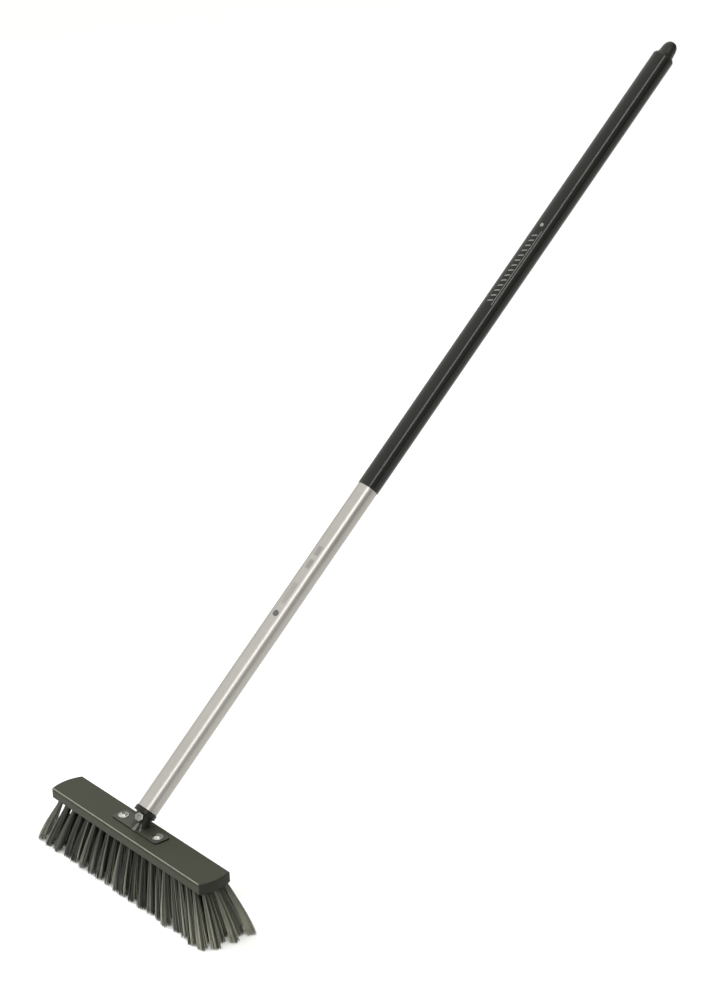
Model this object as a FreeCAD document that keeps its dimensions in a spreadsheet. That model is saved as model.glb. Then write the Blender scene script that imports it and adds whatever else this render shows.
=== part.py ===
import FreeCAD, Part
import math
import os

import Sketcher

# Push broom, in millimetres, +Z up. The origin is on the floor under the middle of the head,
# +X runs along the head and +Y points to the side that the handle leans towards.

os.makedirs("parts", exist_ok=True)
doc = FreeCAD.newDocument("PushBroom")

# ---------------------------------------------------------------- driving dimensions

DIMENSIONS = {
    # block
    "block_length": 320,          # between the corners, without the rounded ends
    "block_width": 47,
    "block_thick": 16,
    "block_top": 80,              # height of the flat top above the bristle tips
    "end_bulge": 5,               # how far each end bows out
    "top_round": 1.5,
    "under_bevel": 2,
    "lip_height": 3,              # top lip above the shadow groove round the block
    "groove_height": 0.8,
    "groove_depth": 0.6,
    # tufts and their holes
    "short_row_tufts": 20,        # rows 1, 3 and 5
    "long_row_tufts": 21,         # rows 2, 4 and 6
    "tuft_pitch": 14.8,
    "row_pitch": 7,
    "hole_depth": 11,
    "hole_radius": 3.05,
    "tuft_root_radius": 2.3,
    "tuft_tip_radius": 6.4,
    "spread_along": 1.25,         # spacing of the tips over the spacing of the roots
    "spread_across": 1.9,
    "staple_width": 3.2,
    "staple_thick": 0.5,
    "staple_rise": 1.2,
    "fold_gap": 0.2,              # between a staple and its tuft
    # bracket
    "plate_length": 96,
    "plate_width": 24,
    "plate_thick": 2,
    "plate_corner": 5,
    "plate_edge": 0.4,
    "plate_offset": 3.5,          # middle of the plate and its screws behind the middle of the block
    "screw_spacing": 74,
    "screw_radius": 2.1,
    "screw_reach": 12,
    "screw_head_radius": 7.2,
    "screw_head_rise": 3.2,
    "screw_clearance": 0.2,
    "recess_reach": 2.6,
    "recess_web": 0.6,
    "recess_depth": 1.9,
    "screw_tip_gap": 0.5,
    "neck_foot_radius": 11.5,
    "neck_foot_offset": 3.5,
    "neck_top_radius": 12,
    "neck_top_offset": 1.5,
    # handle
    "handle_lean": 48,            # from the vertical
    "handle_offset": 8.3,         # its axis meets the block's top this far in front of the middle
    "neck_top": 24,               # along the handle's axis from the block's top
    "collar_radius": 15.2,
    "collar_length": 7,
    "collar_edge": 0.8,
    "spigot_radius": 4.5,
    "spigot_length": 10,
    "spigot_end_gap": 0.5,
    "turned_bevel": 1,
    "tube_radius": 14,
    "tube_wall": 1.5,
    "tube_length": 1187,
    "plug_radius": 12.4,
    "plug_length": 45,
    "grip_radius": 14.8,
    "grip_length": 692,
    "cap_radius": 10,
    "cap_rise": 27,
    "cap_lip_rise": 2.5,
    "cap_lip_edge": 1,
    "cap_plug_length": 30,
    # clamp screw
    "clamp_down": 6,              # below the collar, along the handle
    "clamp_azimuth": 35,          # from straight in front, towards +X
    "clamp_radius": 3,
    "thread_clearance": 0.05,
    "pad_thick": 1.5,
    "pad_play": 0.05,             # between the pad and the screw's tip
    "nut_start": 7,               # distances from the handle's axis
    "nut_end": 13.5,
    "clamp_head_start": 14.5,
    "clamp_head_thick": 4,
    "hex_flats": 10,
    "socket_radius": 2.5,
    "socket_depth": 2,
}

# Outlines as shares of a radius and a rise, from the rim inwards.
SCREW_DOME = ((1, 0.22), (0.94, 0.34), (0.7, 0.38), (0.6, 0.76), (0.4, 0.96))
CAP_NOSE = ((1, 0.5), (0.94, 0.68), (0.75, 0.85), (0.42, 0.97))

sheet = doc.addObject("Spreadsheet::Sheet", "Sizes")
for row, (alias, number) in enumerate(DIMENSIONS.items(), start=1):
    sheet.set("A%d" % row, alias)
    sheet.set("B%d" % row, str(number))
    sheet.setAlias("B%d" % row, alias)
doc.recompute()


class Size:
    """A number together with the sheet expression that gives it."""

    def __init__(self, value, text):
        self.value = float(value)
        self.text = text

    def __add__(self, other):
        other = size_of(other)
        return Size(self.value + other.value, "(%s + %s)" % (self.text, other.text))

    def __sub__(self, other):
        other = size_of(other)
        return Size(self.value - other.value, "(%s - %s)" % (self.text, other.text))

    def __mul__(self, other):
        other = size_of(other)
        return Size(self.value * other.value, "(%s * %s)" % (self.text, other.text))

    def __truediv__(self, other):
        other = size_of(other)
        return Size(self.value / other.value, "(%s / %s)" % (self.text, other.text))

    def __neg__(self):
        return Size(-self.value, "(0 - %s)" % self.text)


def size_of(item):
    return item if isinstance(item, Size) else Size(item, repr(float(item)))


def size(alias):
    return Size(float(sheet.get(alias)), "Sizes.%s" % alias)


def bind(target, **sizes):
    for name, item in sizes.items():
        target.setExpression(name, size_of(item).text)


# ---------------------------------------------------------------- frames

def at(x=0.0, y=0.0, z=0.0, rotation=None):
    return FreeCAD.Placement(FreeCAD.Vector(x, y, z), rotation or FreeCAD.Rotation())


X_AXIS = FreeCAD.Vector(1, 0, 0)
Z_AXIS = FreeCAD.Vector(0, 0, 1)
LEAN = size("handle_lean").value
BLOCK_TOP = size("block_top").value
PLATE_TOP = BLOCK_TOP + size("plate_thick").value

# Handle frame: origin where the handle's axis meets the block's top, local +Z up the handle.
HANDLE = at(0, -size("handle_offset").value, BLOCK_TOP, FreeCAD.Rotation(X_AXIS, -LEAN))

# Clamp frame: origin on the handle's axis, local +Z out along the clamp screw.
clamp_height = size("neck_top") - size("clamp_down")
to_front = FreeCAD.Rotation(X_AXIS, 90)
to_side = FreeCAD.Rotation(Z_AXIS, size("clamp_azimuth").value)
CLAMP = HANDLE * at(z=clamp_height.value, rotation=to_side * to_front)


# ---------------------------------------------------------------- helpers

def label(item, name):
    item.Label = name
    return item


def new_body(name, placement=None):
    body = doc.addObject("PartDesign::Body", name)
    if placement is not None:
        body.Placement = placement
    return body


def new_sketch(body, name, role="XY_Plane", offset=None):
    plane = next(item for item in body.Origin.OriginFeatures if item.Role == role)
    sketch = body.newObject("Sketcher::SketchObject", name)
    sketch.AttachmentSupport = [(plane, "")]
    sketch.MapMode = "FlatFace"
    if offset is not None:
        sketch.AttachmentOffset = offset
    return sketch


def constrain(sketch, kind, *where, value):
    index = sketch.addConstraint(Sketcher.Constraint(kind, *where, value.value))
    sketch.setExpression("Constraints[%d]" % index, value.text)


def pin_point(sketch, geometry, point, x, y):
    constrain(sketch, "DistanceX", -1, 1, geometry, point, value=size_of(x))
    constrain(sketch, "DistanceY", -1, 1, geometry, point, value=size_of(y))


def circle(sketch, radius, x=0.0, y=0.0):
    radius, x, y = size_of(radius), size_of(x), size_of(y)
    centre = FreeCAD.Vector(x.value, y.value, 0)
    index = sketch.addGeometry(Part.Circle(centre, Z_AXIS, radius.value))
    constrain(sketch, "Radius", index, value=radius)
    pin_point(sketch, index, 3, x, y)


def polygon(sketch, corners):
    """Closed outline of straight edges through corners, each an (x, y) pair of sizes."""
    corners = [(size_of(x), size_of(y)) for x, y in corners]
    points = [FreeCAD.Vector(x.value, y.value, 0) for x, y in corners]
    first = sketch.GeometryCount
    count = len(points)
    for index, point in enumerate(points):
        sketch.addGeometry(Part.LineSegment(point, points[(index + 1) % count]))
    for index in range(count):
        follower = first + (index + 1) % count
        sketch.addConstraint(Sketcher.Constraint("Coincident", first + index, 2, follower, 1))
    for index, (x, y) in enumerate(corners):
        pin_point(sketch, first + index, 1, x, y)


def rectangle(sketch, half_x, half_y, x=0.0, y=0.0):
    x, y = size_of(x), size_of(y)
    half_x, half_y = size_of(half_x), size_of(half_y)
    polygon(sketch, [(x - half_x, y - half_y), (x + half_x, y - half_y),
                     (x + half_x, y + half_y), (x - half_x, y + half_y)])


def hexagon(sketch, flats):
    """Regular hexagon with two of its corners on the sketch's X axis."""
    corner = flats / math.sqrt(3)
    half = flats / 2
    polygon(sketch, [(corner, 0), (corner / 2, half), (-corner / 2, half),
                     (-corner, 0), (-corner / 2, -half), (corner / 2, -half)])


def pad(body, sketch, length, reverse=False):
    feature = body.newObject("PartDesign::Pad", "Pad")
    feature.Profile = sketch
    feature.Reversed = reverse
    bind(feature, Length=length)
    doc.recompute()
    return feature


def pocket(body, sketch, length, reverse=False):
    before = body.Shape.Volume
    feature = body.newObject("PartDesign::Pocket", "Pocket")
    feature.Profile = sketch
    feature.Reversed = reverse
    bind(feature, Length=length)
    doc.recompute()
    if body.Shape.Volume > before - 1e-6:
        raise RuntimeError("the pocket in %s cut nothing" % body.Name)
    return feature


def revolve(body, sketch):
    feature = body.newObject("PartDesign::Revolution", "Revolution")
    feature.Profile = sketch
    feature.ReferenceAxis = (sketch, ["V_Axis"])
    feature.Angle = 360
    doc.recompute()
    return feature


def dress(body, kind, edges, **sizes):
    """Fillet or Chamfer on the named edges of the body's last feature."""
    base = body.Tip
    feature = body.newObject("PartDesign::" + kind, kind)
    feature.Base = (base, edges)
    bind(feature, **sizes)
    doc.recompute()
    return feature


def edges_at(body, height, along=2):
    """Names of the edges that lie wholly at one height along an axis of the body's frame."""
    names = []
    for index, edge in enumerate(body.Tip.Shape.Edges, start=1):
        box = edge.BoundBox
        low = (box.XMin, box.YMin, box.ZMin)[along]
        high = (box.XMax, box.YMax, box.ZMax)[along]
        if abs(low - height) < 1e-4 and abs(high - height) < 1e-4:
            names.append("Edge%d" % index)
    return names


def compound(name, items):
    group = doc.addObject("Part::Compound", name + "_group")
    group.Links = items
    return group


def cut(name, base, tool):
    result = doc.addObject("Part::Cut", name)
    result.Base = base
    result.Tool = tool
    doc.recompute()
    return result


def cylinder(name, radius, height, placement):
    item = doc.addObject("Part::Cylinder", name)
    bind(item, Radius=radius, Height=height)
    item.Placement = placement
    return item


# ---------------------------------------------------------------- tuft layout

ROWS = 6
under_side = size("block_top") - size("block_thick")
root_height = under_side + size("hole_depth")


def row_roots(row):
    """Places of one row's tuft roots: rows 1, 3 and 5 stand half a pitch off the others."""
    pitch = size("tuft_pitch").value
    y = (row - (ROWS + 1) / 2) * size("row_pitch").value
    count = int(size("short_row_tufts" if row % 2 else "long_row_tufts").value)
    for index in range(count):
        yield (index - (count - 1) / 2) * pitch, y


def tuft_frame(x, y):
    """Placement at a tuft's root with local +Z down the tuft."""
    root = FreeCAD.Vector(x, y, root_height.value)
    tip = FreeCAD.Vector(x * size("spread_along").value, y * size("spread_across").value, 0)
    return FreeCAD.Placement(root, FreeCAD.Rotation(Z_AXIS, tip - root))


# ---------------------------------------------------------------- brush block

def brush_block():
    body = new_body("block_blank", at(z=under_side.value))
    outline = new_sketch(body, "block_outline")
    half_x = size("block_length") / 2
    half_y = size("block_width") / 2
    bow = half_x + size("end_bulge")
    front_right = FreeCAD.Vector(half_x.value, -half_y.value, 0)
    back_right = FreeCAD.Vector(half_x.value, half_y.value, 0)
    front_left = FreeCAD.Vector(-half_x.value, -half_y.value, 0)
    back_left = FreeCAD.Vector(-half_x.value, half_y.value, 0)
    bow_right = FreeCAD.Vector(bow.value, 0, 0)
    bow_left = FreeCAD.Vector(-bow.value, 0, 0)
    front = outline.addGeometry(Part.LineSegment(front_left, front_right))
    right = outline.addGeometry(Part.Arc(front_right, bow_right, back_right))
    back = outline.addGeometry(Part.LineSegment(back_right, back_left))
    left = outline.addGeometry(Part.Arc(back_left, bow_left, front_left))
    for first, second in ((front, right), (right, back), (back, left), (left, front)):
        outline.addConstraint(Sketcher.Constraint("Coincident", first, 2, second, 1))
    pin_point(outline, front, 1, -half_x, -half_y)
    pin_point(outline, front, 2, half_x, -half_y)
    pin_point(outline, back, 1, half_x, half_y)
    pin_point(outline, back, 2, -half_x, half_y)
    bulge = size("end_bulge")
    radius = (half_y * half_y + bulge * bulge) / (bulge * 2)
    constrain(outline, "Radius", right, value=radius)
    constrain(outline, "Radius", left, value=radius)
    pad(body, outline, size("block_thick"))

    thick = size("block_thick").value
    dress(body, "Fillet", edges_at(body, thick), Radius=size("top_round"))
    dress(body, "Chamfer", edges_at(body, 0), Size=size("under_bevel"))

    # shadow groove under the top lip: straight runs along the front and the back
    reach = bow + 1
    inner = half_y - size("groove_depth")
    groove_floor = thick - size("lip_height").value - size("groove_height").value
    groove = new_sketch(body, "groove_outline", offset=at(z=groove_floor))
    for sign in (1, -1):
        rectangle(groove, reach, half_y, 0, (inner + half_y) * sign)
    pocket(body, groove, size("groove_height"), reverse=True)

    holes = []
    for row in range(1, ROWS + 1):
        for index, (x, y) in enumerate(row_roots(row), start=1):
            depth = size("hole_depth") + size("block_thick")
            name = "hole_%d_%d" % (row, index)
            holes.append(cylinder(name, size("hole_radius"), depth, tuft_frame(x, y)))
    for sign in (1, -1):
        pilot = size("screw_radius") + size("thread_clearance")
        x = sign * size("screw_spacing").value / 2
        place = at(x, size("plate_offset").value, BLOCK_TOP - size("screw_reach").value)
        holes.append(cylinder("pilot", pilot, size("screw_reach") * 2, place))
    return label(cut("block_cut", body, compound("holes", holes)), "brush_block")


# ---------------------------------------------------------------- tufts and their anchors

def tuft_row(row):
    """Plain flaring cones, one for each tuft; each stops just clear of the floor plane."""
    cones = []
    clear = size("staple_rise") + size("fold_gap")
    for index, (x, y) in enumerate(row_roots(row), start=1):
        placement = tuft_frame(x, y)
        cone = doc.addObject("Part::Cone", "tuft_%d_%d" % (row, index))
        cosine = -placement.Rotation.multVec(Z_AXIS).z
        sine = math.sqrt(1 - cosine * cosine)
        length = (root_height - size("tuft_tip_radius") * sine) / cosine - clear
        bind(cone, Radius1=size("tuft_root_radius"), Radius2=size("tuft_tip_radius"), Height=length)
        cone.Placement = placement * at(z=clear.value)
        cones.append(cone)
    return label(compound("tufts_row_%d" % row, cones), "tufts_row_%d" % row)


def anchor_row(row):
    """Flat wire staples that hold each tuft's fold against the bottom of its hole."""
    staples = []
    width = size("staple_width")
    thick = size("staple_thick")
    for index, (x, y) in enumerate(row_roots(row), start=1):
        staple = doc.addObject("Part::Box", "staple_%d_%d" % (row, index))
        bind(staple, Length=width, Width=thick, Height=size("staple_rise"))
        staple.Placement = tuft_frame(x, y) * at(-width.value / 2, -thick.value / 2, 0)
        staples.append(staple)
    return label(compound("anchors_row_%d" % row, staples), "anchors_row_%d" % row)


# ---------------------------------------------------------------- bracket

def holder_plate():
    body = new_body("plate_body", at(y=size("plate_offset").value, z=BLOCK_TOP))
    outline = new_sketch(body, "plate_outline")
    rectangle(outline, size("plate_length") / 2, size("plate_width") / 2)
    pad(body, outline, size("plate_thick"))
    corners = []
    for index, edge in enumerate(body.Tip.Shape.Edges, start=1):
        if edge.BoundBox.ZLength > size("plate_thick").value - 1e-4:
            corners.append("Edge%d" % index)
    dress(body, "Fillet", corners, Radius=size("plate_corner"))
    dress(body, "Chamfer", edges_at(body, size("plate_thick").value), Size=size("plate_edge"))
    holes = new_sketch(body, "plate_holes")
    for sign in (1, -1):
        circle(holes, size("screw_radius") + size("screw_clearance"),
               size("screw_spacing") / 2 * sign, 0)
    pocket(body, holes, size("plate_thick"), reverse=True)
    return label(body, "holder_plate")


def plate_screws():
    """Two washer-head screws, each with a flange, a dome, a cross recess and a pointed shank."""
    body = new_body("screw_body", at(size("screw_spacing").value / 2, size("plate_offset").value, PLATE_TOP))
    profile = new_sketch(body, "screw_profile", "XZ_Plane")
    radius = size("screw_radius")
    head = size("screw_head_radius")
    rise = size("screw_head_rise")
    length = size("screw_reach") + size("plate_thick") - size("screw_tip_gap")
    dome = [(head * out, rise * up) for out, up in SCREW_DOME]
    polygon(profile, [(0, -length), (radius, radius - length), (radius, 0), (head, 0)] + dome + [(0, rise)])
    revolve(body, profile)
    recess = new_sketch(body, "screw_recess", offset=at(z=rise.value))
    arm = size("recess_reach")
    web = size("recess_web")
    polygon(recess, [(arm, -web), (arm, web), (web, web), (web, arm), (-web, arm), (-web, web),
                     (-arm, web), (-arm, -web), (-web, -web), (-web, -arm), (web, -arm), (web, -web)])
    pocket(body, recess, size("recess_depth"))
    mirror = doc.addObject("Part::Mirroring", "screw_mirror")
    mirror.Source = body
    mirror.Normal = X_AXIS
    return label(compound("plate_screws", [body, mirror]), "plate_screws")


def bracket_neck():
    """Leaning boss: a loft from a round foot on the plate to a seat square to the handle."""
    body = new_body("neck_body", HANDLE)
    foot_place = at(0, size("neck_foot_offset").value, PLATE_TOP)
    foot = new_sketch(body, "neck_foot", offset=HANDLE.inverse() * foot_place)
    circle(foot, size("neck_foot_radius"))
    seat = new_sketch(body, "neck_seat", offset=at(z=size("neck_top").value))
    circle(seat, size("neck_top_radius"), 0, size("neck_top_offset"))
    loft = body.newObject("PartDesign::AdditiveLoft", "neck_loft")
    loft.Profile = foot
    loft.Sections = [seat]
    doc.recompute()

    bore = new_sketch(body, "neck_bore", offset=at(z=size("neck_top").value))
    circle(bore, size("spigot_radius") + size("thread_clearance"))
    pocket(body, bore, size("spigot_length") + size("spigot_end_gap"))

    local = HANDLE.inverse() * CLAMP
    thread = new_sketch(body, "neck_thread", offset=local * at(z=size("nut_end").value))
    circle(thread, size("clamp_radius") + size("thread_clearance"))
    pocket(body, thread, size("nut_end"))
    return label(body, "bracket_neck")


# ---------------------------------------------------------------- clamp screw

def clamp_nut(neck):
    """Weld nut whose inner end is trimmed to the neck's surface."""
    start = size("nut_start")
    body = new_body("nut_body", CLAMP)
    outline = new_sketch(body, "nut_outline", offset=at(z=start.value))
    hexagon(outline, size("hex_flats"))
    pad(body, outline, size("nut_end") - start)
    shaft = size("clamp_radius") + size("thread_clearance")
    thread = cylinder("nut_thread", shaft, size("nut_end") + 1, CLAMP)
    blank = cut("nut_trim", body, neck)
    return label(cut("nut_cut", blank, thread), "clamp_nut")


def clamp_pad():
    """Thrust pad that the screw's tip carries against the spigot."""
    start = size("spigot_radius") + size("thread_clearance")
    place = CLAMP * at(z=start.value)
    return label(cylinder("pad_disc", size("clamp_radius"), size("pad_thick"), place), "clamp_pad")


def clamp_screw():
    """Hex-head screw with a hexagon socket; its shank starts just outside the pad."""
    start = size("spigot_radius") + size("thread_clearance") + size("pad_thick") + size("pad_play")
    head = size("clamp_head_start")
    body = new_body("clamp_body", CLAMP)
    shank = new_sketch(body, "clamp_shank", offset=at(z=start.value))
    circle(shank, size("clamp_radius"))
    pad(body, shank, head - start)
    top = new_sketch(body, "clamp_head", offset=at(z=head.value))
    hexagon(top, size("hex_flats"))
    pad(body, top, size("clamp_head_thick"))
    face = head + size("clamp_head_thick")
    socket = new_sketch(body, "clamp_socket", offset=at(z=face.value))
    hexagon(socket, size("socket_radius") * 2)
    pocket(body, socket, size("socket_depth"))
    return label(body, "clamp_screw")


# ---------------------------------------------------------------- handle

def ferrule():
    """Turned piece between the bracket and the tube: spigot, collar and plug on one axis."""
    body = new_body("ferrule_body", HANDLE * at(z=size("neck_top").value))
    profile = new_sketch(body, "ferrule_profile", "XZ_Plane")
    spigot = size("spigot_radius")
    collar = size("collar_radius")
    plug = size("plug_radius")
    bevel = size("turned_bevel")
    edge = size("collar_edge")
    depth = -size("spigot_length")
    rise = size("collar_length")
    top = rise + size("plug_length")
    polygon(profile, [(0, depth), (spigot - bevel, depth), (spigot, depth + bevel), (spigot, 0),
                      (collar - edge, 0), (collar, edge), (collar, rise - edge), (collar - edge, rise),
                      (plug, rise), (plug, top - bevel), (plug - bevel, top), (0, top)])
    revolve(body, profile)
    return label(body, "ferrule")


def handle_tube():
    start = size("neck_top") + size("collar_length")
    place = HANDLE * at(z=start.value)
    outside = cylinder("tube_outside", size("tube_radius"), size("tube_length"), place)
    inside = cylinder("tube_inside", size("tube_radius") - size("tube_wall"), size("tube_length"), place)
    return label(cut("tube_cut", outside, inside), "handle_tube")


def grip_sleeve():
    end = size("neck_top") + size("collar_length") + size("tube_length")
    place = HANDLE * at(z=(end - size("grip_length")).value)
    outside = cylinder("grip_outside", size("grip_radius"), size("grip_length"), place)
    inside = cylinder("grip_inside", size("tube_radius"), size("grip_length"), place)
    return label(cut("grip_cut", outside, inside), "grip_sleeve")


def end_cap():
    """Domed cap: a lip over the tube's end, a bullet-shaped nose and a plug inside the tube."""
    end = size("neck_top") + size("collar_length") + size("tube_length")
    body = new_body("cap_body", HANDLE * at(z=end.value))
    profile = new_sketch(body, "cap_profile", "XZ_Plane")
    plug = size("plug_radius")
    depth = -size("cap_plug_length")
    lip = size("grip_radius")
    lip_rise = size("cap_lip_rise")
    edge = size("cap_lip_edge")
    nose = size("cap_radius")
    rise = size("cap_rise")
    inside = [(0, depth), (plug, depth), (plug, 0)]
    shoulder = [(lip, 0), (lip, lip_rise - edge), (lip - edge, lip_rise), (nose, lip_rise)]
    dome = [(nose * out, rise * up) for out, up in CAP_NOSE]
    polygon(profile, inside + shoulder + dome + [(0, rise)])
    revolve(body, profile)
    return label(body, "end_cap")


# ---------------------------------------------------------------- build, check and write

pieces = [brush_block()]
for row_number in range(1, ROWS + 1):
    pieces.append(tuft_row(row_number))
    pieces.append(anchor_row(row_number))
pieces.append(holder_plate())
pieces.append(plate_screws())
neck_piece = bracket_neck()
pieces.append(neck_piece)
pieces.append(clamp_nut(neck_piece))
pieces.append(clamp_pad())
pieces.append(clamp_screw())
pieces.append(ferrule())
pieces.append(handle_tube())
pieces.append(grip_sleeve())
pieces.append(end_cap())
doc.recompute()

for item in doc.Objects:
    if "Invalid" in item.State or "Error" in item.State:
        raise RuntimeError("%s failed: %s" % (item.Name, item.State))

for piece in pieces:
    shape = piece.Shape
    if shape.isNull() or not shape.isValid():
        raise RuntimeError("%s has no valid shape" % piece.Label)
    shape.exportStep("parts/%s.step" % piece.Label)
    print(piece.Label, len(shape.Solids), round(shape.Volume))
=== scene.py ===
import math
import random

import bmesh
import bpy
from mathutils import Matrix, Quaternion, Vector


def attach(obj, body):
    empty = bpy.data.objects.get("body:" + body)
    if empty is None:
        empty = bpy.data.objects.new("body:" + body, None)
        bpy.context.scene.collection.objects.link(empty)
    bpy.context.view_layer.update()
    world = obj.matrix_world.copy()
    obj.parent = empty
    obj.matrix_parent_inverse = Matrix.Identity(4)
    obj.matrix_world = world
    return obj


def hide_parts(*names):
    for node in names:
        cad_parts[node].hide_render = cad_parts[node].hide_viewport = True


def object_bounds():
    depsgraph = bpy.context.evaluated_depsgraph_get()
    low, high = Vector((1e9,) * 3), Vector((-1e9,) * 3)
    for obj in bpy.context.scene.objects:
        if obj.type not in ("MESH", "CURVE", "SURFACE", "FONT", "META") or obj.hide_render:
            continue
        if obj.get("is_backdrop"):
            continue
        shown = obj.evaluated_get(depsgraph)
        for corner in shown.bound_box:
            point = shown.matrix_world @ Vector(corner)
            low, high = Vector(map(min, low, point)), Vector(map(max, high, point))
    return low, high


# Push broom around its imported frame, in metres, +Z up, +X along the head. The handle leans to +Y.

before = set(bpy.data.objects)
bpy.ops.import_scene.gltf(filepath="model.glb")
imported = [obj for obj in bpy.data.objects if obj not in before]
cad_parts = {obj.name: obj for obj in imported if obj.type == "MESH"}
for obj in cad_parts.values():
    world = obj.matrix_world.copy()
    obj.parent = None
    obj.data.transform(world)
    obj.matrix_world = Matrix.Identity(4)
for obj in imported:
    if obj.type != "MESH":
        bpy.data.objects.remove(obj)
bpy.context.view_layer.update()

MM = 0.001

# ---------------------------------------------------------------- sizes shared with the CAD model

LEAN = math.radians(48)
BLOCK_TOP = 80 * MM
BLOCK_THICK = 16 * MM
BLOCK_HALF_LENGTH = 160 * MM
BLOCK_HALF_WIDTH = 23.5 * MM
PLATE_TOP = 82 * MM
HANDLE_OFFSET = 8.3 * MM
NECK_TOP = 24 * MM
COLLAR_RADIUS = 15.2 * MM
COLLAR_LENGTH = 7 * MM
SPIGOT_RADIUS = 4.5 * MM
SPIGOT_LENGTH = 10 * MM
TUBE_RADIUS = 14 * MM
TUBE_WALL = 1.5 * MM
TUBE_LENGTH = 1187 * MM
PLUG_RADIUS = 12.4 * MM
PLUG_LENGTH = 45 * MM
GRIP_RADIUS = 14.8 * MM
GRIP_LENGTH = 692 * MM
CAP_RADIUS = 10 * MM
CAP_RISE = 27 * MM
CAP_PLUG_LENGTH = 30 * MM
CLAMP_HEIGHT = 18 * MM
CLAMP_AZIMUTH = math.radians(35)
CLAMP_RADIUS = 3 * MM
CLAMP_START = 6.1 * MM
CLAMP_HEAD_START = 14.5 * MM
CLAMP_HEAD_THICK = 4 * MM
HEX_FLATS = 10 * MM
SCREW_SPACING = 74 * MM
SCREW_OFFSET = 3.5 * MM
SCREW_RADIUS = 2.1 * MM
SCREW_REACH = 12 * MM

TUBE_START = NECK_TOP + COLLAR_LENGTH
TUBE_END = TUBE_START + TUBE_LENGTH
GRIP_START = TUBE_END - GRIP_LENGTH

HANDLE = Matrix.Translation((0, -HANDLE_OFFSET, BLOCK_TOP)) @ Matrix.Rotation(-LEAN, 4, "X")
CLAMP = (
    HANDLE
    @ Matrix.Translation((0, 0, CLAMP_HEIGHT))
    @ Matrix.Rotation(CLAMP_AZIMUTH, 4, "Z")
    @ Matrix.Rotation(math.radians(90), 4, "X")
)


# ---------------------------------------------------------------- materials

def new_material(name):
    made = bpy.data.materials.new(name)
    made.use_nodes = True
    tree = made.node_tree
    return made, tree, tree.nodes["Principled BSDF"]


def add(tree, kind, **values):
    """A node with its properties and unlinked inputs set."""
    node = tree.nodes.new(kind)
    for key, value in values.items():
        if hasattr(node, key):
            setattr(node, key, value)
        else:
            node.inputs[key.replace("_", " ")].default_value = value
    return node


def object_coordinates(tree, stretch=(1, 1, 1)):
    where = add(tree, "ShaderNodeTexCoord")
    mapping = add(tree, "ShaderNodeMapping", Scale=stretch)
    tree.links.new(where.outputs["Object"], mapping.inputs["Vector"])
    return mapping.outputs["Vector"]


def noise(tree, vector, scale, detail=4.0, roughness=0.55):
    node = add(tree, "ShaderNodeTexNoise", Scale=scale, Detail=detail, Roughness=roughness)
    tree.links.new(vector, node.inputs["Vector"])
    return node.outputs["Fac"]


def spread(tree, value, low, high, start=0.3, end=0.7, blend="LINEAR"):
    """value from start..end mapped to low..high."""
    node = add(tree, "ShaderNodeMapRange", interpolation_type=blend)
    tree.links.new(value, node.inputs["Value"])
    node.inputs["From Min"].default_value = start
    node.inputs["From Max"].default_value = end
    node.inputs["To Min"].default_value = low
    node.inputs["To Max"].default_value = high
    return node.outputs["Result"]


def ramp(tree, value, stops):
    node = add(tree, "ShaderNodeValToRGB")
    elements = node.color_ramp.elements
    while len(elements) < len(stops):
        elements.new(0.5)
    for element, (position, color) in zip(elements, stops):
        element.position = position
        element.color = (*color, 1)
    tree.links.new(value, node.inputs["Fac"])
    return node.outputs["Color"]


def bump(tree, shader, height, strength, distance):
    node = add(tree, "ShaderNodeBump", Strength=strength, Distance=distance)
    tree.links.new(height, node.inputs["Height"])
    tree.links.new(node.outputs["Normal"], shader.inputs["Normal"])


GRAIN_SHARE = 0.4             # of the fine grain and of the patches in a surface's colour
PATCH_SHARE = 0.6
GRAIN_STRENGTH = 0.6


def surface(name, dark, light, rough, metallic=0.0, patch=6.0, grain=1800.0, grain_depth=0.03 * MM,
            stretch=(1, 1, 1), specular=0.5):
    """Colour and roughness that drift over patches, under a fine grain; stretch draws the grain out."""
    made, tree, shader = new_material(name)
    vector = object_coordinates(tree)
    drift = noise(tree, vector, patch * 4, 5.0)
    fine = noise(tree, object_coordinates(tree, stretch), grain, 3.0, 0.6)
    blend = add(tree, "ShaderNodeMath", operation="MULTIPLY_ADD")
    tree.links.new(fine, blend.inputs[0])
    blend.inputs[1].default_value = GRAIN_SHARE
    patches = add(tree, "ShaderNodeMath", operation="MULTIPLY")
    tree.links.new(drift, patches.inputs[0])
    patches.inputs[1].default_value = PATCH_SHARE
    tree.links.new(patches.outputs[0], blend.inputs[2])
    color = ramp(tree, blend.outputs[0], [(0.3, dark), (0.7, light)])
    tree.links.new(color, shader.inputs["Base Color"])
    tree.links.new(spread(tree, blend.outputs[0], rough[0], rough[1]), shader.inputs["Roughness"])
    shader.inputs["Metallic"].default_value = metallic
    shader.inputs["Specular IOR Level"].default_value = specular
    bump(tree, shader, fine, GRAIN_STRENGTH, grain_depth)
    return made


def paint_shade_by_facing(made, axis, share, start, end):
    """Painted shade: faces take a share of the colour where their normal's size along an axis goes from start
    to end.
    """
    tree = made.node_tree
    shader = tree.nodes["Principled BSDF"]
    color = shader.inputs["Base Color"].links[0].from_socket
    where = add(tree, "ShaderNodeTexCoord")
    parts = add(tree, "ShaderNodeSeparateXYZ")
    tree.links.new(where.outputs["Normal"], parts.inputs[0])
    along = add(tree, "ShaderNodeMath", operation="ABSOLUTE")
    tree.links.new(parts.outputs[axis], along.inputs[0])
    blend = add(tree, "ShaderNodeMix", data_type="RGBA", blend_type="MIX")
    tree.links.new(spread(tree, along.outputs[0], 0.0, 1 - share, start, end), blend.inputs["Factor"])
    tree.links.new(color, blend.inputs[6])
    blend.inputs[7].default_value = (0, 0, 0, 1)
    tree.links.new(blend.outputs[2], shader.inputs["Base Color"])


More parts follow.
